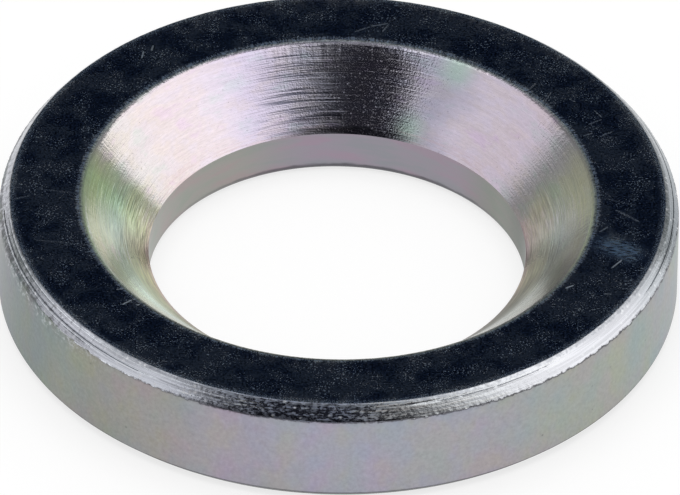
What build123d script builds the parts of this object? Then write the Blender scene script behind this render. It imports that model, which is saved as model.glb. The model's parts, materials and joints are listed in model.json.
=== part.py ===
from build123d import *
from math import radians, tan
import os

# A thick washer with a conical seat, turned from one piece of steel.
# Sizes are in millimetres. The axis is Z and the underside lies on Z = 0.

# The ring
outer_diameter = 36.0
thickness = 6.0
bore_diameter = 20.0

# The conical seat, sunk into the top face
seat_depth = 3.5
seat_angle = 90.0  # included angle of the cone

# The broken edges
seat_lip_radius = 0.7  # where the seat runs out into the top face
shoulder_chamfer = 0.7  # outer edge of the top face, at 45 degrees
shoulder_blend_radius = 0.2  # softens both corners of that chamfer
bore_edge_radius = 0.7  # where the bore leaves the underside
base_chamfer = 0.5  # outer edge of the underside, at 45 degrees

# Radii and heights that follow from these
bore_radius = bore_diameter / 2
rim_radius = outer_diameter / 2
seat_radius = bore_radius + seat_depth * tan(radians(seat_angle / 2))
throat_height = thickness - seat_depth

# Corners of the half section, as radius and height, before the edges are broken
throat = (bore_radius, throat_height)
bore_foot = (bore_radius, 0)
rim_foot = (rim_radius, 0)
rim_top = (rim_radius, thickness)
seat_mouth = (seat_radius, thickness)


def corner_at(section, place):
    """The corner of the section that lies nearest to a place."""
    return section.vertices().sort_by_distance(Vector(*place))[0]


def break_shoulder(section):
    """Chamfer the top outer edge, then soften the two corners that leaves."""
    chamfer(corner_at(section, rim_top), shoulder_chamfer)
    flat_corner = corner_at(section, (rim_radius - shoulder_chamfer, thickness))
    wall_corner = corner_at(section, (rim_radius, thickness - shoulder_chamfer))
    fillet([flat_corner, wall_corner], shoulder_blend_radius)


def half_section():
    """One side of the ring, cut through its axis, with its edges broken."""
    with BuildSketch(Plane.XZ) as section:
        with BuildLine():
            Polyline(throat, bore_foot, rim_foot, rim_top, seat_mouth, close=True)
        make_face()
        fillet(corner_at(section, bore_foot), bore_edge_radius)
        chamfer(corner_at(section, rim_foot), base_chamfer)
        fillet(corner_at(section, seat_mouth), seat_lip_radius)
        break_shoulder(section)
    return section.sketch


def washer():
    """The half section turned once round the axis."""
    ring = revolve(half_section(), axis=Axis.Z, revolution_arc=360)
    ring.label = "washer"
    return ring


os.makedirs("parts", exist_ok=True)
export_step(washer(), "parts/washer.step")
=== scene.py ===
import json
from math import atan2, cos, degrees, hypot, pi, radians, sin, tan

import bpy
from mathutils import Euler, Matrix, Vector


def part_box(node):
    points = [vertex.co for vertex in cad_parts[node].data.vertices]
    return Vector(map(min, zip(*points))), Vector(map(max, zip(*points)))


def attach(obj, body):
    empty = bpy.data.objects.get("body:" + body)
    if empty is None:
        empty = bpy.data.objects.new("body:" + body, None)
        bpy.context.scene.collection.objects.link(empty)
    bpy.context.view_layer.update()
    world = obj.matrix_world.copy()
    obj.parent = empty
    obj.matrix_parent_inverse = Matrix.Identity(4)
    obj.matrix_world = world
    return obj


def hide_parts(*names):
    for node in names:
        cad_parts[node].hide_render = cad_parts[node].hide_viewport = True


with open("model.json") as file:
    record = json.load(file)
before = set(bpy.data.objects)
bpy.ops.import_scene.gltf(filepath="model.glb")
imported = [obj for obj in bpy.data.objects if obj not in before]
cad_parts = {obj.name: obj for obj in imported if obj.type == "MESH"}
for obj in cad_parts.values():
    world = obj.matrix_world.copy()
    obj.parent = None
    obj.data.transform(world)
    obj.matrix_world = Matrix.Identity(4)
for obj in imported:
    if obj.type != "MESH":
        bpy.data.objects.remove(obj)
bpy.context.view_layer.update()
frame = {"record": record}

# The conical seat washer, dressed. Metres, with the washer's axis on Z and its underside at height 0.

MOUNTS = {mount["name"]: mount for mount in frame["record"]["mounts"]}
MM = 0.001

# Sizes read from the frame
WASHER_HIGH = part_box("washer")[1]
RIM_RADIUS = WASHER_HIGH.x
THICKNESS = WASHER_HIGH.z
BORE_RADIUS = MOUNTS["bore"]["dims"]["r_mm"] * MM
THROAT_HEIGHT = MOUNTS["seat"]["pos_m"][2]

# Places that follow from them
CONE_MOUTH = BORE_RADIUS + THICKNESS - THROAT_HEIGHT  # where the cone alone would meet the top face
MID_FACE = (RIM_RADIUS + BORE_RADIUS) / 2 + MM  # a radius on the top face, clear of its edges

# The broken edges
LIP_RADIUS = 0.5 * MM
LIP_SHIFT = 0.04 * MM  # how much wider the mouth is than the cone alone would make it
SHOULDER_IN = 0.63 * MM
SHOULDER_DOWN = 0.76 * MM
SHOULDER_BLEND = 0.12 * MM
BORE_EDGE = 0.54 * MM
BASE_CHAMFER = 0.5 * MM

# Finer shapes that the tool left
TURNS = 1300  # faces round the ring
SLOPE = atan2(SHOULDER_DOWN, SHOULDER_IN)
LINE_WIDTH = 0.08 * MM
# Lines cut in the shoulder: share of the way up it, depth, and the bearings between which each one shows
LINES = [
    (0.30, 0.012 * MM, -138, -126), (0.46, 0.030 * MM, -170, -128), (0.46, 0.030 * MM, -18, 20),
    (0.58, 0.012 * MM, -150, -130), (0.58, 0.010 * MM, -60, -25), (0.74, 0.030 * MM, -70, -54),
    (0.46, 0.020 * MM, 30, 150), (0.74, 0.016 * MM, 60, 120), (0.74, 0.020 * MM, -165, -120),
    (0.30, 0.016 * MM, -168, -142),
]

# The seat and bore were cut a hair off the rim's centre, and the shoulder's top edge with them
SEAT_CENTRE = (-0.06 * MM, -0.07 * MM)
FACE_CENTRE = (-0.06 * MM, 0.0)

# Tolerances
TOUCHING = 1e-7  # points this near are one point
LEVEL = 1e-6  # heights this near are one height


# ---------------------------------------------------------------- the ring's section

def arc(centre, radius, start, end, steps):
    """Points along an arc of the section, between two angles in degrees."""
    angles = [radians(start + (end - start) * i / steps) for i in range(steps + 1)]
    return [(centre[0] + radius * cos(a), centre[1] + radius * sin(a)) for a in angles]


def run(start, end, steps):
    """Points along a straight of the section, with both ends left out."""
    shares = [i / steps for i in range(1, steps)]
    return [(start[0] + (end[0] - start[0]) * t, start[1] + (end[1] - start[1]) * t) for t in shares]


def line_rows(share):
    """Three points across a line on the shoulder, at a share of the way up it."""
    middle = (RIM_RADIUS - SHOULDER_IN * share, THICKNESS - SHOULDER_DOWN * (1 - share))
    inward, upward = LINE_WIDTH / 2 * cos(SLOPE), LINE_WIDTH / 2 * sin(SLOPE)
    return [(middle[0] + inward, middle[1] - upward), middle, (middle[0] - inward, middle[1] + upward)]


def section():
    """The outline of the ring's section as radius and height, once round from the bore's foot."""
    foot = arc((BORE_RADIUS + BORE_EDGE, BORE_EDGE), BORE_EDGE, 180, 270, 8)
    base = [(RIM_RADIUS - BASE_CHAMFER, 0), (RIM_RADIUS, BASE_CHAMFER)]
    facing = 90 - degrees(SLOPE)
    low_inset = SHOULDER_BLEND * tan(radians(facing) / 2)
    high_inset = SHOULDER_BLEND * tan(SLOPE / 2)
    low_end = THICKNESS - SHOULDER_DOWN - low_inset
    wall_blend = arc((RIM_RADIUS - SHOULDER_BLEND, low_end), SHOULDER_BLEND, 0, facing, 4)
    high_end = RIM_RADIUS - SHOULDER_IN - high_inset
    top_blend = arc((high_end, THICKNESS - SHOULDER_BLEND), SHOULDER_BLEND, facing, 90, 5)
    slope = []
    for share in sorted({line[0] for line in LINES}):
        slope += line_rows(share)
    lip_centre = (CONE_MOUTH + LIP_SHIFT + LIP_RADIUS * tan(radians(22.5)), THICKNESS - LIP_RADIUS)
    lip = arc(lip_centre, LIP_RADIUS, 90, 135, 10)
    throat = (BORE_RADIUS, THROAT_HEIGHT)
    wall_break = (RIM_RADIUS, low_end - 0.25 * MM)
    return (
        foot + base + run(base[1], wall_break, 2) + [wall_break] + run(wall_break, wall_blend[0], 4)
        + wall_blend + run(wall_blend[-1], slope[0], 2) + slope + run(slope[-1], top_blend[0], 2) + top_blend
        + run(top_blend[-1], lip[0], 3) + lip + run(lip[-1], throat, 4) + [throat]
    )


def start_piece(name, place):
    """A single point in edit mode, to extrude from."""
    bpy.ops.object.select_all(action="DESELECT")
    bpy.ops.mesh.primitive_plane_add(size=MM, location=(0, 0, 0))
    piece = bpy.context.object
    piece.name = name
    piece.data.name = name
    bpy.ops.object.mode_set(mode="EDIT")
    bpy.ops.mesh.select_all(action="SELECT")
    bpy.ops.mesh.merge(type="CENTER")
    bpy.ops.transform.translate(value=place)
    return piece


def turn_washer():
    """The section drawn out point by point, closed, and spun once round the axis."""
    points = [Vector((radius, 0, height)) for radius, height in section()]
    washer = start_piece("washer_turned", points[0])
    for here, there in zip(points, points[1:] + points[:1]):
        bpy.ops.mesh.extrude_vertices_move(TRANSFORM_OT_translate={"value": there - here})
    bpy.ops.mesh.select_all(action="SELECT")
    bpy.ops.mesh.remove_doubles(threshold=TOUCHING)
    bpy.ops.mesh.spin(steps=TURNS, angle=2 * pi, center=(0, 0, 0), axis=(0, 0, 1))
    bpy.ops.mesh.select_all(action="SELECT")
    bpy.ops.mesh.remove_doubles(threshold=TOUCHING)
    bpy.ops.mesh.normals_make_consistent(inside=False)
    bpy.ops.object.mode_set(mode="OBJECT")
    return washer


def select_where(piece, inside):
    """Selects the points of a piece for which inside(radius, height) is true, in edit mode."""
    bpy.ops.object.select_all(action="DESELECT")
    piece.select_set(True)
    bpy.context.view_layer.objects.active = piece
    bpy.ops.object.mode_set(mode="EDIT")
    bpy.ops.mesh.select_all(action="DESELECT")
    bpy.ops.object.mode_set(mode="OBJECT")
    for point in piece.data.vertices:
        point.select = inside(hypot(point.co.x, point.co.y), point.co.z)
    bpy.ops.object.mode_set(mode="EDIT")


def set_off_centre(washer):
    """Moves the bore, seat and lip, and the shoulder's top edge, by what they are off centre."""
    top_edge = THICKNESS - SHOULDER_BLEND / 2
    for centre, inside in (
        (SEAT_CENTRE, lambda radius, height: radius < MID_FACE),
        (FACE_CENTRE, lambda radius, height: radius > MID_FACE and height > top_edge),
    ):
        select_where(washer, inside)
        bpy.ops.transform.translate(value=(*centre, 0))
        bpy.ops.object.mode_set(mode="OBJECT")


# ---------------------------------------------------------------- marks left in the metal

def ease(value, low, high):
    """0 below low, 1 above high, and a smooth rise between."""
    share = min(1, max(0, (value - low) / (high - low)))
    return share * share * (3 - 2 * share)


def between(value, low, high, fade):
    """1 between low and high, and a smooth fall outside them."""
    return ease(value, low - fade, low) * (1 - ease(value, high, high + fade))


def on_line(share, start, end):
    """The middle row of a line, over the stretch where it shows."""
    middle = RIM_RADIUS - SHOULDER_IN * share

    def weight(radius, height, bearing):
        return between(bearing, start, end, 12) if abs(radius - middle) < LINE_WIDTH / 8 else 0
    return weight


def on_shoulder(radius, height, bearing):
    """How much of the turned shoulder's roughness a point takes."""
    return (ease(height, THICKNESS - SHOULDER_DOWN * 1.25, THICKNESS - SHOULDER_DOWN)
            * ease(radius, RIM_RADIUS - SHOULDER_IN - 0.3 * MM, RIM_RADIUS - SHOULDER_IN))


def on_border(radius, height, bearing):
    """The edge where shoulder and wall meet, which is chipped."""
    low = THICKNESS - SHOULDER_DOWN
    return between(height, low - 0.08 * MM, low + 0.05 * MM, 0.18 * MM)


def on_lip(radius, height, bearing):
    """The torn edge between the face and the seat."""
    return between(radius, CONE_MOUTH - 0.05 * MM, CONE_MOUTH + 0.2 * MM, 0.15 * MM)


def press_in(piece, name, share_at, depth, grain=None):
    """Presses the part of a piece that share_at names inwards, evenly or by a grain."""
    group = piece.vertex_groups.new(name=name)
    for point in piece.data.vertices:
        radius = hypot(point.co.x, point.co.y)
        if radius > BORE_RADIUS + 2 * MM and point.co.z > THICKNESS / 2:  # the rest has no such marks
            share = share_at(radius, point.co.z, degrees(atan2(point.co.y, point.co.x)))
            if share > 0.001:
                group.add([point.index], share, "REPLACE")
    press = piece.modifiers.new(name, "DISPLACE")
    press.vertex_group = name
    press.strength = -depth
    press.mid_level = 0
    if grain:
        press.texture = grain
        press.texture_coords = "LOCAL"
    bpy.context.view_layer.objects.active = piece
    bpy.ops.object.modifier_apply(modifier=press.name)


def grain_of(name, size, contrast=1.0):
    """Cloudy noise with features of a size."""
    grain = bpy.data.textures.new(name, "CLOUDS")
    grain.noise_scale = size
    grain.noise_depth = 2
    grain.contrast = contrast
    grain.use_clamp = True
    return grain


def cut_lines(washer):
    """The single lines that the tool cut in the shoulder."""
    for count, (share, depth, start, end) in enumerate(LINES):
        press_in(washer, f"line_{count}", on_line(share, start, end), depth)


def wear_edges(washer):
    """The shoulder's roughness, the chips along its foot and the torn lip of the seat."""
    press_in(washer, "shoulder_grain", on_shoulder, 0.014 * MM, grain_of("shoulder_grain", 0.16 * MM))
    press_in(washer, "border_chips", on_border, 0.025 * MM, grain_of("border_chips", 0.13 * MM, 2.0))
    press_in(washer, "torn_lip", on_lip, 0.02 * MM, grain_of("torn_lip", 0.14 * MM))


# ---------------------------------------------------------------- finishes

class Nodes:
    """A node tree being filled, with short ways to add to it."""

    def __init__(self, owner, empty=True):
        owner.use_nodes = True
        self.tree = owner.node_tree
        if empty:
            self.tree.nodes.clear()

    def put(self, socket, value):
        """A number, colour or another node's output into a socket."""
        if isinstance(value, bpy.types.NodeSocket):
            self.tree.links.new(value, socket)
        elif isinstance(value, tuple) and len(value) == 3 and socket.type == "RGBA":
            socket.default_value = (*value, 1)
        else:
            socket.default_value = value

    def add(self, kind, **inputs):
        """A node, with some of its inputs set by name."""
        made = self.tree.nodes.new(kind)
        for name, value in inputs.items():
            self.put(made.inputs[name], value)
        return made

    def math(self, operation, *values):
        made = self.tree.nodes.new("ShaderNodeMath")
        made.operation = operation
        for socket, value in zip(made.inputs, values):
            self.put(socket, value)
        return made.outputs[0]

    def times(self, first, second):
        return self.math("MULTIPLY", first, second)

    def plus(self, first, second):
        return self.math("ADD", first, second)

    def most(self, first, second):
        return self.math("MAXIMUM", first, second)

    def least(self, first, second):
        return self.math("MINIMUM", first, second)

    def scaled(self, value, factor, shift):
        """value * factor + shift."""
        return self.math("MULTIPLY_ADD", value, factor, shift)

    def vector(self, operation, first, second=None, scale=None):
        made = self.tree.nodes.new("ShaderNodeVectorMath")
        made.operation = operation
        self.put(made.inputs[0], first)
        if second is not None:
            self.put(made.inputs[1], second)
        if scale is not None:
            self.put(made.inputs["Scale"], scale)
        return made.outputs["Value" if operation in ("LENGTH", "DOT_PRODUCT", "DISTANCE") else "Vector"]

    def ease(self, value, low, high, to_low=0.0, to_high=1.0):
        """A smooth change from to_low at low to to_high at high. It falls if high is below low."""
        made = self.tree.nodes.new("ShaderNodeMapRange")
        made.interpolation_type = "SMOOTHSTEP"
        for name, number in (("Value", value), ("From Min", low), ("From Max", high),
                             ("To Min", to_low), ("To Max", to_high)):
            self.put(made.inputs[name], number)
        return made.outputs[0]

    def window(self, value, rise_from, rise_to, fall_from, fall_to):
        """1 between rise_to and fall_from, easing to 0 on either side."""
        return self.times(self.ease(value, rise_from, rise_to), self.ease(value, fall_to, fall_from))

    def ramp(self, value, stops, between="EASE"):
        """Colours along a value, with stops as (where, colour)."""
        made = self.tree.nodes.new("ShaderNodeValToRGB")
        made.color_ramp.interpolation = between
        elements = made.color_ramp.elements
        if len(stops) == 1:
            elements.remove(elements[1])
        while len(elements) < len(stops):
            elements.new(0.5)
        for element, (where, colour) in zip(elements, stops):
            element.position = where
            element.color = (*colour, 1)
        self.put(made.inputs[0], value)
        return made.outputs["Color"]

    def object_place(self):
        """Where a point lies in the piece's own space, in metres."""
        return self.add("ShaderNodeTexCoord").outputs["Object"]

    def axes(self, vector):
        """The x, y and z of a vector."""
        return self.add("ShaderNodeSeparateXYZ", Vector=vector).outputs

    def seen(self):
        """1 for rays that come from the camera or off metal or glass, and 0 for the rest."""
        path = self.add("ShaderNodeLightPath")
        either = self.most(path.outputs["Is Camera Ray"], path.outputs["Is Glossy Ray"])
        return self.most(either, path.outputs["Is Transmission Ray"])

    def cleared(self, share, surface):
        """A surface that is see-through to a share."""
        made = self.tree.nodes.new("ShaderNodeMixShader")
        clear = self.add("ShaderNodeBsdfTransparent").outputs[0]
        for socket, value in zip(made.inputs, (share, surface, clear)):
            self.put(socket, value)
        return made.outputs[0]


class Finish(Nodes):
    """A metal being made. Lengths in its nodes are in millimetres."""

    def __init__(self, name, centre=(0, 0)):
        self.material = bpy.data.materials.new(name)
        super().__init__(self.material, empty=False)
        self.shader = self.tree.nodes["Principled BSDF"]
        self.set("Metallic", 1)
        placed = self.vector("SUBTRACT", self.object_place(), (*centre, 0))
        self.place = self.vector("SCALE", placed, scale=1 / MM)
        self.x, self.y, self.height = self.axes(self.place)
        flat = self.vector("MULTIPLY", self.place, (1, 1, 0))
        self.radius = self.vector("LENGTH", flat)
        self.round = self.vector("NORMALIZE", flat)

    def set(self, name, value):
        """One input of the metal itself."""
        self.put(self.shader.inputs[name], value)

    def noise(self, place, scale=1.0, detail=2.0, rough=0.5):
        made = self.add("ShaderNodeTexNoise", Vector=place, Scale=scale, Detail=detail, Roughness=rough)
        return made.outputs["Fac"]

    def specks(self, scale, size, share):
        """Small spots, 1 at their middles. share is how many of the cells have one."""
        cells = self.add("ShaderNodeTexVoronoi", Vector=self.place, Scale=scale)
        luck = self.add("ShaderNodeSeparateColor", Color=cells.outputs["Color"]).outputs[0]
        here = self.math("GREATER_THAN", luck, 1 - share)
        return self.times(here, self.ease(cells.outputs["Distance"], self.times(luck, size), 0.0))

    def mix(self, share, first, second, blend="MIX"):
        made = self.tree.nodes.new("ShaderNodeMix")
        made.data_type = "RGBA"
        made.blend_type = blend
        self.put(made.inputs["Factor"], share)
        colours = [socket for socket in made.inputs if socket.type == "RGBA"]
        self.put(colours[0], first)
        self.put(colours[1], second)
        return [socket for socket in made.outputs if socket.type == "RGBA"][0]

    def tint(self, colour, by, share=1.0):
        """A colour multiplied by another, to a share."""
        return self.mix(share, colour, by, "MULTIPLY")

    def cover(self, colour, where, strength, over):
        """Another colour laid over a colour, at most to a strength, where a value is near 1."""
        return self.mix(self.times(where, strength), colour, over)

    def grey(self, value):
        """A grey from a number."""
        return self.add("ShaderNodeCombineColor", Red=value, Green=value, Blue=value).outputs[0]

    def blend(self, share, first, second):
        """Between two numbers."""
        return self.plus(first, self.times(share, self.math("SUBTRACT", second, first)))

    def turned(self, turn_rate, along, along_rate):
        """A place wound round the ring: turn_rate for a radian, along_rate for a millimetre of along."""
        made = self.add("ShaderNodeCombineXYZ", Z=self.times(along, along_rate))
        return self.vector("ADD", self.vector("SCALE", self.round, scale=turn_rate), made.outputs[0])

    def turn_from(self, front):
        """Share of a turn, 0.5 at the front or at the back of the ring, and rising to the right."""
        away = self.times(self.y, -1.0 if front else 1.0)
        return self.scaled(self.math("ARCTAN2", self.x, away), 1 / (2 * pi), 0.5)

    def wavered(self, turn, drift):
        """A share of a turn, made to wander a little with a noise."""
        return self.plus(turn, self.scaled(drift, 0.05, -0.025))

    def spread(self, direction, along_rate, across_rate):
        """A place on the flat, stretched along a direction in degrees, for scratches."""
        turn = radians(direction)
        along = self.vector("DOT_PRODUCT", self.place, (cos(turn), sin(turn), 0))
        across = self.vector("DOT_PRODUCT", self.place, (-sin(turn), cos(turn), 0))
        along = self.times(along, along_rate)
        across = self.times(across, across_rate)
        return self.add("ShaderNodeCombineXYZ", X=along, Y=across).outputs[0]

    def scratch(self, start, end, width):
        """A straight mark on the top face between two places in millimetres, 1 along its middle."""
        run = Vector(end) - Vector(start)
        middle = (Vector(start) + Vector(end)) / 2
        way = run.normalized()
        away = self.vector("SUBTRACT", self.place, (middle.x, middle.y, 0))
        along = self.math("ABSOLUTE", self.vector("DOT_PRODUCT", away, (way.x, way.y, 0)))
        across = self.math("ABSOLUTE", self.vector("DOT_PRODUCT", away, (-way.y, way.x, 0)))
        return self.times(self.ease(along, run.length / 2, run.length / 4), self.ease(across, width, 0.0))

    def spot(self, place, size):
        """A soft patch round a place in millimetres."""
        return self.ease(self.vector("DISTANCE", self.place, place), size, 0.0)

    def bump(self, *layers):
        """Heights laid over each other, as (height from 0 to 1, micrometres)."""
        total = None
        for height, depth in layers:
            part = self.times(height, depth)
            total = part if total is None else self.plus(total, part)
        made = self.add("ShaderNodeBump", Distance=1e-6, Strength=1, Height=total)
        self.set("Normal", made.outputs[0])


# The seat's film colours by share of a turn, with 0.5 at the back and 0.0 at the front; the darker stop at
# 0.57 is a painted reflection of the dark wall's edge
SEAT_COLOURS_AND_PAINTED_REFLECTION = [
    (0.00, (0.38, 0.39, 0.36)), (0.12, (0.44, 0.46, 0.40)), (0.165, (0.72, 0.82, 0.70)),
    (0.21, (0.88, 1.0, 0.80)), (0.24, (0.67, 0.76, 0.58)), (0.27, (0.72, 0.86, 0.62)),
    (0.292, (0.77, 0.84, 0.65)), (0.312, (0.87, 0.82, 0.81)), (0.345, (0.90, 0.80, 0.84)),
    (0.39, (0.90, 0.80, 0.89)), (0.44, (0.78, 0.70, 0.88)), (0.50, (0.84, 0.84, 1.0)),
    (0.55, (0.78, 0.77, 0.92)), (0.57, (0.60, 0.58, 0.71)), (0.60, (0.88, 0.80, 0.93)),
    (0.65, (0.88, 0.78, 0.90)), (0.68, (0.73, 0.69, 0.73)), (0.72, (0.77, 0.75, 0.66)),
    (0.785, (0.76, 0.80, 0.65)), (0.815, (0.50, 0.52, 0.44)), (0.84, (0.32, 0.33, 0.29)),
    (0.88, (0.28, 0.29, 0.26)), (1.00, (0.38, 0.39, 0.36)),
]
# How light the torn lip is painted, by share of a turn: painted light and shade round the ring
LIP_PAINTED_LIGHT_LEVELS = [
    (0.00, 0.45), (0.14, 0.55), (0.22, 1.0), (0.36, 1.1), (0.44, 0.9),
    (0.55, 0.8), (0.62, 1.0), (0.80, 1.05), (0.88, 0.85), (0.97, 0.6),
]


def seat_film_and_painted_reflection(finish, along, turn, sideways, lines):
    """The film's colours, with a painted reflection just right of the back: round the seat, in broad patches,
    and in bands up the cone at its sides.
    """
    colour = finish.ramp(turn, SEAT_COLOURS_AND_PAINTED_REFLECTION)
    patches = finish.noise(finish.turned(5.0, along, 0.9), detail=3, rough=0.6)
    hue = finish.ramp(patches, [
        (0.30, (0.90, 1.00, 0.94)), (0.44, (1.0, 1.0, 1.0)), (0.56, (1.0, 0.985, 0.92)),
        (0.70, (1.0, 0.92, 0.98)),
    ])
    colour = finish.tint(colour, hue, finish.scaled(sideways, -0.6, 0.9))
    climb = finish.plus(finish.times(along, 0.2), finish.scaled(lines, 0.36, -0.18))
    bands = finish.ramp(climb, [
        (0.00, (1.10, 0.78, 0.80)), (0.08, (1.04, 0.90, 0.70)), (0.28, (0.96, 0.94, 0.76)),
        (0.50, (0.86, 1.00, 0.94)), (0.70, (0.96, 1.06, 0.90)), (0.86, (1.03, 1.06, 0.84)),
        (1.00, (0.90, 0.94, 0.88)),
    ])
    colour = finish.tint(colour, bands, finish.times(sideways, 0.9))
    green = finish.most(finish.spot((3.6, 9.9, 3.0), 1.5), finish.spot((6.3, 11.7, 5.7), 1.6))
    return finish.cover(colour, green, 0.7, (0.56, 0.80, 0.66))


def seat_shade(finish, along, turn, sideways, lines):
    """How light the tool's fine lines leave each place on the cone, with painted shade low down at the right
    towards the front.
    """
    cuts = finish.noise(finish.turned(7.0, along, 11.0), detail=1)
    fine = finish.noise(finish.turned(40.0, along, 16.0), detail=1)
    shade = finish.plus(finish.scaled(lines, 0.30, 0.85), finish.scaled(fine, 0.24, -0.12))
    crisp = finish.times(finish.scaled(cuts, 1.5, -0.75), sideways)
    crisp = finish.times(crisp, finish.ease(along, 4.0, 1.6, 0.25, 1.0))
    crisp = finish.times(crisp, finish.ease(turn, 0.17, 0.24, 0.4, 1.0))
    shade = finish.plus(shade, crisp)
    # painted shade: the cone darker low down at the right towards the front
    front_foot_painted_shade = finish.times(finish.ease(turn, 0.78, 0.82), finish.ease(along, 2.8, 0.8))
    return finish.scaled(front_foot_painted_shade, -0.22, shade)


def lip_colour(finish, turn, teeth):
    """The torn lip: dark and light teeth, painted lighter or darker round the turn as light and shade."""
    colour = finish.ramp(teeth, [(0.37, (0.20, 0.25, 0.27)), (0.60, (0.86, 1.0, 1.0))])
    return finish.tint(colour, finish.ramp(turn, [(where, (level,) * 3) for where, level in LIP_PAINTED_LIGHT_LEVELS]))


def seat_finish():
    """Fine turned cone under a thin coloured passivation film, with a rough lip."""
    finish = Finish("turned_seat", SEAT_CENTRE)
    along = finish.scaled(finish.radius, 2 ** 0.5, -BORE_RADIUS / MM * 2 ** 0.5)  # up the cone from its foot
    drift = finish.noise(finish.turned(2.2, along, 0.45), detail=2)
    turn = finish.wavered(finish.turn_from(front=False), drift)
    sideways = finish.most(finish.ease(turn, 0.31, 0.27), finish.ease(turn, 0.68, 0.72, 0.0, 0.6))
    facing = finish.window(turn, 0.25, 0.36, 0.69, 0.77)
    at_back = finish.window(turn, 0.43, 0.47, 0.565, 0.595)
    lines = finish.noise(finish.turned(3.0, along, 7.0), detail=3, rough=0.65)
    colour = seat_film_and_painted_reflection(finish, along, turn, sideways, lines)

    # the tool's lines: dark and light ones left of the back, and deep ones round the cone's foot
    long_lines = finish.noise(finish.turned(3.6, along, 16.0), detail=1)
    left_of_back = finish.window(turn, 0.425, 0.465, 0.49, 0.51)
    dark_lines = finish.times(left_of_back, finish.ease(long_lines, 0.45, 0.38))
    colour = finish.cover(colour, dark_lines, 0.75, (0.08, 0.09, 0.15))
    light_lines = finish.times(left_of_back, finish.ease(long_lines, 0.65, 0.70))
    deep_lines = finish.times(finish.ease(along, 1.3, 0.15), finish.ease(lines, 0.50, 0.62))
    colour = finish.cover(colour, deep_lines, 0.4, (0.66, 0.50, 0.52))
    colour = finish.tint(colour, finish.grey(seat_shade(finish, along, turn, sideways, lines)))

    # pits all round, and a dark band along the foot at the back
    colour = finish.cover(colour, finish.specks(3.2, 0.16, 0.05), 0.6, (0.25, 0.24, 0.26))
    band = finish.ease(finish.scaled(lines, 0.5, along), 0.72, 0.56)
    band = finish.times(band, finish.times(at_back, finish.ease(turn, 0.575, 0.55)))
    colour = finish.cover(colour, band, 0.65, (0.10, 0.10, 0.11))

    # the torn lip, painted shade on the brow over it at the sides, and the sparks in it
    teeth = finish.noise(finish.turned(130.0, along, 2.0), detail=2)
    lip = finish.ease(finish.scaled(teeth, -0.30, finish.radius), 13.36, 13.50)
    colour = finish.cover(colour, lip, 0.8, lip_colour(finish, turn, teeth))
    # painted shade: the brow over the lip darkened where the cone faces sideways
    brow_painted_shade = finish.times(finish.ease(finish.radius, 13.55, 13.72), finish.ease(sideways, 0.2, 0.6))
    colour = finish.cover(colour, brow_painted_shade, 0.30, (0.16, 0.17, 0.18))
    sparks = finish.times(finish.specks(4.0, 0.42, 0.30), lip)
    finish.set("Base Color", finish.mix(sparks, colour, (0.95, 0.97, 0.98)))

    # roughness: finest at the back, dull at the sides and low down, on the lip and in scattered spots
    streaks = finish.noise(finish.turned(16.0, along, 13.0), detail=2)
    rough = finish.scaled(streaks, 0.10, 0.09)
    rough = finish.most(rough, finish.ease(turn, 0.24, 0.20, 0.0, 0.24))
    rough = finish.most(rough, finish.ease(turn, 0.75, 0.80, 0.0, 0.22))
    rough = finish.scaled(lip, 0.26, rough)
    rough = finish.scaled(finish.most(sparks, light_lines), 0.20, rough)
    low_left = finish.times(finish.ease(turn, 0.245, 0.215), finish.ease(along, 2.6, 0.8))
    low_right = finish.times(finish.ease(turn, 0.75, 0.78), finish.ease(along, 2.6, 0.8))
    rough = finish.scaled(finish.most(low_left, low_right), 0.20, rough)
    haze = finish.ease(finish.noise(finish.place, 13.0, detail=1), 0.55, 0.70)
    haze = finish.times(haze, finish.times(at_back, finish.ease(lines, 0.40, 0.60, 0.4, 1.0)))
    rough = finish.scaled(haze, 0.17, rough)
    dull = finish.times(finish.specks(4.5, 0.42, 0.36), facing)
    finish.set("Roughness", finish.scaled(dull, 0.24, rough))

    grain = finish.noise(finish.place, 11.0, detail=2)
    grain = finish.times(grain, finish.scaled(facing, 0.85, 0.15))
    finish.bump((lines, 6.0), (long_lines, 7.0), (streaks, 5.0), (grain, 6.8), (dull, 3.0),
                (finish.times(teeth, lip), 14.0))
    return finish.material


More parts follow.
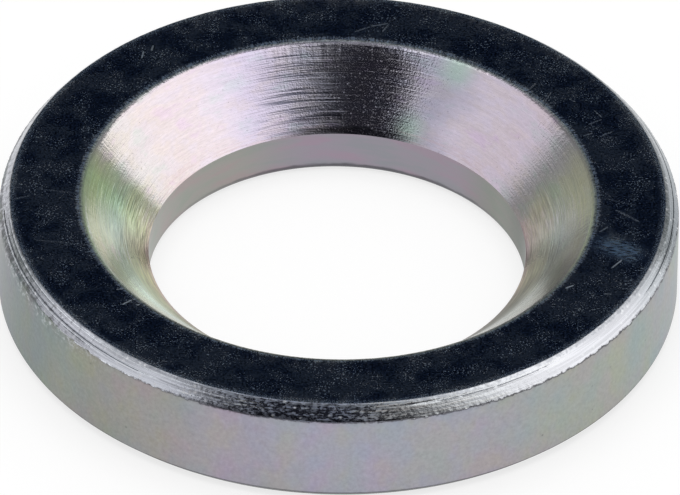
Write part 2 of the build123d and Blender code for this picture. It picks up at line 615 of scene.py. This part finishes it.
# Scratches on the top face: start and end in millimetres, half their width, and how strong they are
SCRATCHES = [
    ((14.6, -0.6), (16.0, -1.7), 0.10, 0.45), ((14.1, 0.3), (15.9, -0.3), 0.08, 0.35),
    ((13.8, -2.6), (14.3, -2.1), 0.06, 0.60), ((14.4, -5.7), (15.1, -4.8), 0.06, 1.0),
    ((12.0, -7.4), (12.5, -7.1), 0.07, 1.0), ((14.0, -7.8), (14.5, -7.8), 0.05, 0.6),
    ((-16.0, 0.35), (-13.5, -0.05), 0.07, 0.32), ((-17.2, -0.6), (-16.2, -0.2), 0.06, 0.45),
    ((-16.1, -4.0), (-12.9, -4.4), 0.08, 0.30), ((-11.6, -8.1), (-11.2, -8.0), 0.06, 0.9),
    ((-11.3, -9.4), (-10.7, -8.9), 0.07, 1.0), ((-10.5, -9.4), (-10.3, -9.3), 0.07, 0.9),
    ((-10.6, 11.7), (-10.5, 12.4), 0.06, 0.8), ((-10.1, 12.3), (-10.0, 12.9), 0.06, 0.7),
    ((0.7, 14.3), (1.6, 14.8), 0.06, 0.5), ((1.5, 14.8), (2.6, 15.1), 0.06, 0.6),
    ((2.2, 14.3), (2.6, 15.1), 0.06, 0.5),
    ((13.5, 7.9), (14.0, 7.2), 0.05, 0.6), ((12.9, 5.6), (13.5, 5.9), 0.05, 0.5),
    ((13.9, 5.6), (14.6, 6.1), 0.05, 0.55), ((15.1, 7.2), (15.6, 7.1), 0.05, 0.5),
    ((10.0, 9.4), (10.5, 10.2), 0.05, 0.5), ((10.9, 8.5), (11.3, 9.4), 0.05, 0.5),
    ((13.2, 6.6), (14.0, 7.1), 0.05, 0.5), ((12.2, 8.8), (12.6, 8.5), 0.05, 0.5),
]


def scratch_marks(finish, dots):
    """All the scratches, broken up by small dots."""
    marks = None
    for start, end, width, strength in SCRATCHES:
        mark = finish.least(finish.times(finish.scratch(start, end, width), 2.2), strength)
        marks = mark if marks is None else finish.most(marks, mark)
    return finish.least(finish.times(marks, finish.scaled(dots, 1.6, 0.2)), 1.0)


def face_dust(finish, dots, marks):
    """Where the top face is dulled: dots, specks, faint lines four ways, scuffed borders and scratches."""
    where = finish.ease(finish.noise(finish.place, 0.8, detail=3), 0.40, 0.64)
    dust = finish.times(finish.ease(dots, 0.58, 0.71), finish.scaled(where, 0.75, 0.25))
    dust = finish.most(dust, finish.times(finish.specks(4.0, 0.48, 0.38), where))
    dust = finish.most(dust, finish.specks(1.5, 0.16, 0.14))
    for direction in (8, 52, 97, 140):
        fine = finish.noise(finish.spread(direction, 0.9, 13.0), detail=1)
        dust = finish.most(dust, finish.times(finish.ease(fine, 0.68, 0.80), 0.4))
    borders = finish.most(finish.ease(finish.radius, 16.85, 17.30), finish.ease(finish.radius, 13.98, 13.76))
    scuffs = finish.noise(finish.place, 15.0, detail=2)
    dust = finish.most(dust, finish.times(borders, finish.ease(scuffs, 0.38, 0.66)))
    teeth = finish.noise(finish.turned(130.0, finish.radius, 2.0), detail=2)
    by_the_lip = finish.times(finish.ease(finish.radius, 14.05, 13.78), finish.ease(teeth, 0.44, 0.62))
    return finish.most(finish.most(dust, by_the_lip), marks)


def top_finish():
    """Bright plated face, worn by handling: a dark mirror with dull specks, scuffed borders and scratches."""
    finish = Finish("plated_face", FACE_CENTRE)
    cloud = finish.noise(finish.place, 0.6, detail=4, rough=0.65)
    colour = finish.ramp(cloud, [(0.40, (0.25, 0.31, 0.43)), (0.60, (0.90, 0.96, 1.0))])
    grain = finish.noise(finish.place, 9.0, detail=2, rough=0.6)
    mottle = finish.most(finish.scaled(grain, 8.5, -3.25), 0.2)
    colour = finish.tint(colour, finish.grey(mottle))
    dots = finish.noise(finish.place, 11.0, detail=1)
    marks = scratch_marks(finish, dots)
    dust = face_dust(finish, dots, marks)
    colour = finish.cover(colour, dust, 0.95, (0.45, 0.58, 0.76))
    smudge = finish.plus(finish.spot((14.3, -3.6, THICKNESS / MM), 1.5),
                         finish.spot((15.4, -4.3, THICKNESS / MM), 1.5))
    rubbed = finish.noise(finish.spread(-8, 2.0, 7.0), detail=4, rough=0.7)
    smudge = finish.times(finish.least(smudge, 1.0), finish.ease(rubbed, 0.28, 0.62))
    colour = finish.mix(smudge, colour, (0.42, 0.66, 0.96))
    finish.set("Base Color", finish.mix(marks, colour, (0.82, 0.91, 1.0)))
    worn = finish.most(dust, finish.times(smudge, 0.85))
    finish.set("Roughness", finish.scaled(worn, 0.38, finish.scaled(cloud, 0.09, 0.055)))
    finish.bump((grain, 3.0), (dust, 2.0))
    return finish.material


# Colours round the wall and the shoulder by share of a turn, with 0.5 at the front; the wall's are painted
# darker at the left as shade, and the shoulder's hold painted reflection and highlight
WALL_COLOURS_WITH_PAINTED_SHADE = [
    (0.00, (0.33, 0.34, 0.36)), (0.25, (0.26, 0.27, 0.29)), (0.31, (0.225, 0.262, 0.253)),
    (0.36, (0.30, 0.31, 0.28)), (0.41, (0.35, 0.34, 0.33)), (0.45, (0.38, 0.36, 0.41)),
    (0.50, (0.39, 0.39, 0.45)), (0.56, (0.39, 0.39, 0.45)), (0.60, (0.39, 0.40, 0.40)),
    (0.64, (0.38, 0.41, 0.37)), (0.70, (0.36, 0.40, 0.39)), (0.78, (0.34, 0.37, 0.40)),
    (1.00, (0.33, 0.34, 0.36)),
]
# the shoulder's steel by bearing, its lighter and darker stretches partly painted reflection
SHOULDER_COLOURS_AND_PAINTED_REFLECTION = [
    (0.00, (0.50, 0.52, 0.54)), (0.265, (0.46, 0.47, 0.52)), (0.305, (0.40, 0.43, 0.46)),
    (0.345, (0.75, 0.78, 0.84)), (0.39, (0.82, 0.86, 0.92)), (0.43, (0.68, 0.72, 0.79)),
    (0.47, (0.52, 0.58, 0.72)), (0.51, (0.54, 0.60, 0.76)), (0.54, (0.92, 0.96, 1.0)),
    (0.61, (0.92, 0.93, 0.98)), (0.66, (0.81, 0.82, 0.87)), (0.70, (0.60, 0.63, 0.67)),
    (0.74, (0.30, 0.33, 0.36)), (1.00, (0.50, 0.52, 0.54)),
]
# the shoulder's worn top edge, painted lighter in front as a highlight and darker at the sides as shade
BRINK_PAINTED_LIGHT_COLOURS = [
    (0.26, (0.30, 0.32, 0.37)), (0.42, (0.34, 0.37, 0.42)), (0.46, (0.68, 0.74, 0.84)),
    (0.53, (0.74, 0.80, 0.90)), (0.58, (0.66, 0.68, 0.73)), (0.70, (0.44, 0.46, 0.50)),
]


def wall_colour(finish, turn):
    """Satin grey, painted darker at the left as shade, with rosy and warm clouds, a cloth-like grain, dark
    ticks and a dark line of painted shade at its foot.
    """
    wall = finish.ramp(turn, WALL_COLOURS_WITH_PAINTED_SHADE)
    rosy = finish.noise(finish.turned(7.0, finish.height, 0.30), detail=3, rough=0.55)
    wall = finish.tint(wall, finish.ramp(rosy, [
        (0.34, (0.92, 1.02, 0.99)), (0.50, (1.0, 1.0, 1.0)), (0.66, (1.08, 0.94, 1.03)),
    ]), 0.65)
    warm = finish.noise(finish.turned(9.0, finish.height, -0.36), detail=3, rough=0.55)
    wall = finish.tint(wall, finish.ramp(warm, [
        (0.34, (0.94, 0.98, 1.08)), (0.50, (1.0, 1.0, 1.0)), (0.66, (1.05, 1.03, 0.86)),
    ]), 0.6)
    cloth = finish.noise(finish.place, 4.5, detail=3, rough=0.7)
    wall = finish.tint(wall, finish.grey(finish.scaled(cloth, 0.46, 0.77)))
    wall = finish.cover(wall, finish.specks(1.1, 0.12, 0.20), 0.6, (0.12, 0.12, 0.12))
    # painted shade: the base chamfer darkened as if mirroring the shaded floor under the washer
    foot = finish.ease(finish.height, BASE_CHAMFER / MM + 0.07, BASE_CHAMFER / MM)
    return finish.cover(wall, foot, 0.85, (0.07, 0.075, 0.08))


def shoulder_colour(finish, turn, across, lines, in_front, brink):
    """Bright turned steel, lighter and darker round the ring partly as painted reflection, lined by the tool,
    streaky in front, and along its top edge a painted highlight in front and painted shade at the sides.
    """
    steel = finish.ramp(turn, SHOULDER_COLOURS_AND_PAINTED_REFLECTION)
    lined = finish.least(finish.ease(turn, 0.32, 0.38, 0.55, 0.9), finish.ease(turn, 0.55, 0.60, 0.9, 0.4))
    steel = finish.tint(steel, finish.grey(finish.ease(lines, 0.36, 0.62, 0.66, 1.14)), lined)
    streaks = finish.noise(finish.turned(6.0, across, 9.0), detail=3, rough=0.7)
    streaky = finish.most(finish.scaled(streaks, 5.0, -1.5), 0.3)
    steel = finish.mix(in_front, steel, finish.tint(steel, finish.grey(streaky)))
    return finish.cover(steel, brink, 0.75, finish.ramp(turn, BRINK_PAINTED_LIGHT_COLOURS))


def rim_finish():
    """Satin wall, and the bright turned shoulder over it with a ragged border."""
    finish = Finish("satin_wall_and_shoulder")
    drift = finish.noise(finish.turned(3.0, finish.height, 0.12), detail=2)
    turn = finish.wavered(finish.turn_from(front=True), drift)
    in_front = finish.window(turn, 0.40, 0.45, 0.53, 0.56)
    across = finish.math("SUBTRACT", finish.height, finish.radius)  # rises up the shoulder
    lines = finish.noise(finish.turned(3.0, across, 5.5), detail=3, rough=0.6)
    grain = finish.noise(finish.turned(110.0, across, 5.0), detail=2, rough=0.6)
    chips = finish.noise(finish.turned(45.0, finish.height, 3.5), detail=4, rough=0.75)
    top_of_slope = (THICKNESS - RIM_RADIUS + SHOULDER_IN) / MM
    brink = finish.ease(finish.scaled(grain, 0.3, across), top_of_slope - 0.14, top_of_slope - 0.02)
    brink = finish.times(brink, finish.ease(chips, 0.42, 0.58, 0.25, 1.0))
    steel = shoulder_colour(finish, turn, across, lines, in_front, brink)
    sparks = finish.specks(3.4, 0.50, 0.30)
    steel = finish.mix(sparks, steel, (0.95, 0.97, 1.0))

    # the ragged border between wall and shoulder, lower at the left end, with a painted shadow line along it
    edge = (THICKNESS - SHOULDER_DOWN) / MM - 0.02
    border = finish.plus(finish.height, finish.scaled(chips, -0.40, 0.20))
    border = finish.scaled(finish.ease(turn, 0.35, 0.29), -0.22, border)
    above = finish.ease(border, edge - 0.02, edge + 0.02)
    colour = finish.mix(above, wall_colour(finish, turn), steel)
    high_up = finish.times(finish.ease(finish.height, 4.2, 5.1), finish.ease(turn, 0.41, 0.31))
    flecks = finish.noise(finish.turned(60.0, finish.height, 4.0), detail=3, rough=0.7)
    pale = finish.times(high_up, finish.ease(flecks, 0.53, 0.62))
    colour = finish.cover(colour, pale, 0.75, (0.60, 0.62, 0.66))
    pitted = finish.times(high_up, finish.ease(flecks, 0.46, 0.38))
    colour = finish.cover(colour, pitted, 0.6, (0.15, 0.15, 0.16))
    # painted shadow: a dark line along the shoulder's chipped border
    border_painted_shadow = finish.window(border, edge - 0.10, edge, edge, finish.scaled(in_front, 0.14, edge + 0.07))
    border_painted_shadow = finish.times(border_painted_shadow, finish.ease(turn, 0.34, 0.46, 0.15, 0.85))
    finish.set("Base Color", finish.mix(border_painted_shadow, colour, (0.06, 0.055, 0.07)))

    satin = finish.noise(finish.place, 5.0, detail=3)
    torn = finish.noise(finish.turned(55.0, across, 6.0), detail=3, rough=0.7)
    rough_high = finish.scaled(brink, 0.18, finish.scaled(grain, 0.28, 0.06))
    rough_high = finish.scaled(sparks, finish.scaled(in_front, 0.17, 0.18), rough_high)
    rough_high = finish.scaled(finish.times(in_front, finish.ease(torn, 0.47, 0.58)), 0.30, rough_high)
    finish.set("Roughness", finish.blend(above, finish.scaled(satin, 0.12, 0.36), rough_high))
    finish.bump((finish.times(lines, above), 13.0), (finish.times(grain, above), 9.0), (satin, 2.0))
    return finish.material


def bore_finish():
    """Smooth bored wall, with painted shade along its foot."""
    finish = Finish("bored_wall", SEAT_CENTRE)
    turn = finish.turn_from(front=False)
    colour = finish.ramp(turn, [
        (0.00, (0.28, 0.29, 0.29)), (0.28, (0.36, 0.36, 0.33)), (0.40, (0.35, 0.34, 0.32)),
        (0.48, (0.33, 0.30, 0.35)), (0.60, (0.32, 0.30, 0.34)), (0.66, (0.28, 0.28, 0.26)),
        (0.72, (0.13, 0.145, 0.125)), (1.00, (0.28, 0.29, 0.29)),
    ])
    bands = finish.noise(finish.turned(3.0, finish.height, 1.4), detail=3)
    hue = finish.ramp(bands, [(0.35, (0.92, 1.0, 0.96)), (0.5, (1.0, 1.0, 1.0)), (0.65, (1.08, 0.95, 1.0))])
    colour = finish.tint(colour, hue)
    scuffs = finish.noise(finish.turned(12.0, finish.height, 6.0), detail=2)
    at_back = finish.window(turn, 0.36, 0.46, 0.58, 0.70)
    ragged = finish.scaled(scuffs, 0.2, finish.height)
    # painted shade: the foot darkened as if mirroring the shaded floor under the ring, most at the back
    foot = finish.ease(ragged, BORE_EDGE / MM + 0.14, BORE_EDGE / MM - 0.04)
    foot = finish.times(foot, finish.scaled(at_back, 0.5, 0.35))
    finish.set("Base Color", finish.mix(foot, colour, (0.09, 0.09, 0.10)))
    finish.set("Roughness", 0.38)
    finish.bump((finish.noise(finish.turned(4.0, finish.height, 9.0), detail=2), 3.0))
    return finish.material


def under_finish():
    """Plain turned underside, in faint circles."""
    finish = Finish("satin_underside")
    circles = finish.noise(finish.turned(3.0, finish.radius, 6.0), detail=3)
    finish.set("Base Color", finish.ramp(circles, [(0.3, (0.34, 0.35, 0.36)), (0.7, (0.46, 0.46, 0.46))]))
    finish.set("Roughness", finish.scaled(circles, 0.2, 0.28))
    finish.bump((circles, 5.0))
    return finish.material


FINISHES = {
    "top": top_finish,
    "seat": seat_finish,
    "bore": bore_finish,
    "rim": rim_finish,
    "underside": under_finish,
}


def zone_of(radius, height):
    """Which zone of the ring a face belongs to, from where it lies."""
    if height < LEVEL:
        return "underside"
    if radius < BORE_RADIUS + BORE_EDGE and height < THROAT_HEIGHT:
        return "bore"
    if height > THICKNESS - LEVEL:
        return "top"
    return "rim" if radius > MID_FACE else "seat"


def dress(washer):
    """Gives each face of the ring the finish of its zone."""
    for make_finish in FINISHES.values():
        washer.data.materials.append(make_finish())
    zones = list(FINISHES)
    for face in washer.data.polygons:
        centre = face.center
        face.material_index = zones.index(zone_of(hypot(centre.x, centre.y), centre.z))


# ---------------------------------------------------------------- studio

FLOOR_GAP = 0.02 * MM  # keeps the floor clear of the underside
CARD_STEPS = 48
CEILING_HEIGHT = 1.41
CEILING_RADIUS = 0.45
CEILING_SOLID = 0.38  # the radius at which it starts to thin out
LEAN_PIVOT = 0.55  # how far up a leaning edge keeps its bearing, as a share of the way overhead


def make_world():
    """White all round, and dimmer as a light than it looks."""
    world = bpy.data.worlds.new("white_room")
    bpy.context.scene.world = world
    nodes = Nodes(world)
    level = nodes.scaled(nodes.seen(), 0.4, 0.6)
    background = nodes.add("ShaderNodeBackground", Color=(1, 1, 1), Strength=level)
    nodes.add("ShaderNodeOutputWorld", Surface=background.outputs[0])


def studio_material(piece, name):
    """An empty material on a piece of the studio, to be filled."""
    material = bpy.data.materials.new(name)
    piece.data.materials.append(material)
    return Nodes(material)


def make_floor():
    """A pale floor that is see-through from below."""
    bpy.ops.object.select_all(action="DESELECT")
    bpy.ops.mesh.primitive_plane_add(size=4, location=(0, 0, -FLOOR_GAP))
    floor = bpy.context.object
    floor.name = "floor"
    bpy.ops.object.transform_apply(location=True, rotation=False, scale=False)
    nodes = studio_material(floor, "white_floor")
    both = nodes.tree.nodes.new("ShaderNodeAddShader")
    paint = nodes.add("ShaderNodeBsdfDiffuse", Color=(0.3, 0.3, 0.3))
    lift = nodes.add("ShaderNodeEmission", Color=(1, 1, 1), Strength=nodes.times(nodes.seen(), 0.74))
    nodes.put(both.inputs[0], paint.outputs[0])
    nodes.put(both.inputs[1], lift.outputs[0])
    from_below = nodes.add("ShaderNodeNewGeometry").outputs["Backfacing"]
    nodes.add("ShaderNodeOutputMaterial", Surface=nodes.cleared(from_below, both.outputs[0]))


def make_card(name, distance, start, end, top, shades, fade=None, lean=0.0):
    """A curved card round the table, from one bearing to another, that metal shows and the camera doesn't.

    shades gives its colour as (steepness in degrees, seen from the table's middle, colour). fade holds the
    two bearings between which it thins out to nothing, and lean tilts that edge."""
    piece = start_piece(name, (distance * cos(radians(start)), distance * sin(radians(start)), 0))
    bpy.ops.mesh.extrude_vertices_move(TRANSFORM_OT_translate={"value": (0, 0, top)})
    bpy.ops.mesh.select_all(action="SELECT")
    bpy.ops.mesh.spin(steps=CARD_STEPS, angle=radians(start - end), center=(0, 0, 0), axis=(0, 0, 1))
    bpy.ops.object.mode_set(mode="OBJECT")
    nodes = studio_material(piece, name)
    x, y, z = nodes.axes(nodes.object_place())
    steep = nodes.math("DIVIDE", nodes.math("ARCTAN2", z, distance), pi / 2)
    colour = nodes.ramp(steep, [(where / 90, shade) for where, shade in shades], between="LINEAR")
    surface = nodes.add("ShaderNodeEmission", Color=colour, Strength=1).outputs[0]
    if fade:
        bearing = nodes.plus(nodes.math("ARCTAN2", y, x), nodes.times(steep, radians(lean)))
        low, high = [radians(side + lean * LEAN_PIVOT) for side in fade]
        surface = nodes.cleared(nodes.ease(bearing, low, high), surface)
    nodes.add("ShaderNodeOutputMaterial", Surface=surface)
    for_metal_only(piece)


def make_ceiling():
    """A dim disc overhead, thinning out towards its edge, that metal shows and the camera doesn't."""
    bpy.ops.object.select_all(action="DESELECT")
    bpy.ops.mesh.primitive_circle_add(
        vertices=64, radius=CEILING_RADIUS, fill_type="NGON", location=(0, 0, CEILING_HEIGHT))
    disc = bpy.context.object
    disc.name = "dim_ceiling"
    bpy.ops.object.transform_apply(location=True, rotation=False, scale=False)
    nodes = studio_material(disc, "dim_ceiling")
    away = nodes.vector("LENGTH", nodes.vector("MULTIPLY", nodes.object_place(), (1, 1, 0)))
    glow = nodes.add("ShaderNodeEmission", Color=(0.16, 0.16, 0.175), Strength=1).outputs[0]
    share = nodes.ease(away, CEILING_SOLID, CEILING_RADIUS)
    nodes.add("ShaderNodeOutputMaterial", Surface=nodes.cleared(share, glow))
    for_metal_only(disc)


def for_metal_only(piece):
    """Shows a piece only in what metal mirrors."""
    piece.visible_camera = False
    piece.visible_diffuse = False
    piece.visible_shadow = False
    piece.visible_transmission = False


def make_lamp():
    """A soft lamp overhead, which lights the floor and isn't mirrored."""
    lamp = bpy.data.lights.new("overhead", "AREA")
    lamp.shape = "DISK"
    lamp.size = 0.6
    lamp.energy = 1.4
    holder = bpy.data.objects.new("overhead", lamp)
    holder.location = (0, 0, 0.6)
    holder.visible_glossy = False
    bpy.context.scene.collection.objects.link(holder)


# The camera. Distances are in rim radii.
ELEVATION = radians(38.46)
ROLL = radians(0.93)
AWAY = 60
AIM_RIGHT = 0.0047
AIM_UP = 0.1145
SENSOR = 36  # its width in millimetres
RIM_SHARE = 0.49863235  # of the picture's width, taken by the rim's radius


def make_camera():
    """A far camera with a long lens, looking down at the front of the washer."""
    up = Vector((0, sin(ELEVATION), cos(ELEVATION)))
    back = Vector((0, -cos(ELEVATION), sin(ELEVATION)))
    aim = Vector((1, 0, 0)) * (AIM_RIGHT * RIM_RADIUS) + up * (AIM_UP * RIM_RADIUS)
    data = bpy.data.cameras.new("camera")
    data.lens = SENSOR * RIM_SHARE * AWAY
    data.sensor_width = SENSOR
    data.clip_start = 0.01
    data.clip_end = 20
    camera = bpy.data.objects.new("camera", data)
    bpy.context.scene.collection.objects.link(camera)
    turn = Euler((pi / 2 - ELEVATION, 0, 0)).to_matrix() @ Matrix.Rotation(ROLL, 3, "Z")
    camera.matrix_world = Matrix.Translation(aim + back * (AWAY * RIM_RADIUS)) @ turn.to_4x4()
    bpy.context.scene.camera = camera


# What the cards round the table show, by steepness in degrees
BEHIND = [
    (0, (0.36, 0.37, 0.35)), (12, (0.33, 0.34, 0.32)), (20, (0.21, 0.22, 0.21)),
    (28, (0.05, 0.052, 0.06)), (34, (0.009, 0.013, 0.023)), (46, (0.011, 0.016, 0.026)),
    (58, (0.07, 0.07, 0.08)), (72, (0.13, 0.13, 0.14)),
]
BEHIND_THE_SIDES = [
    (0, (0.36, 0.37, 0.35)), (12, (0.33, 0.34, 0.32)), (20, (0.27, 0.28, 0.27)),
    (28, (0.20, 0.21, 0.22)), (46, (0.20, 0.21, 0.22)), (72, (0.15, 0.15, 0.16)),
]
IN_FRONT = [(0, (0.012, 0.012, 0.016))]
AT_THE_LEFT = [(0, (0.62, 0.61, 0.63))]


def make_cards():
    """The walls that the metal mirrors, each at its distance, between two bearings and up to a height."""
    make_card("dark_wall_behind", 0.45, 68, 112, 1.4, BEHIND)
    make_card("grey_wall_behind_right", 0.45, 32, 68, 1.4, BEHIND_THE_SIDES)
    make_card("grey_wall_behind_left", 0.45, 112, 156.5, 1.4, BEHIND_THE_SIDES)
    make_card("dark_card_in_front", 0.44, -133, -20, 1.4, IN_FRONT, fade=(-82, -34), lean=60)
    make_card("grey_wall_left", 0.46, 156, 229.5, 0.8, AT_THE_LEFT)


# ---------------------------------------------------------------- build

bpy.context.scene.view_settings.view_transform = "Standard"
make_camera()
make_world()
make_floor()
make_lamp()
make_cards()
make_ceiling()

washer = turn_washer()
dress(washer)
cut_lines(washer)
wear_edges(washer)
set_off_centre(washer)
bpy.ops.object.select_all(action="DESELECT")
washer.select_set(True)
bpy.ops.object.shade_smooth_by_angle(angle=radians(32))
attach(washer, "root")
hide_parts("washer")
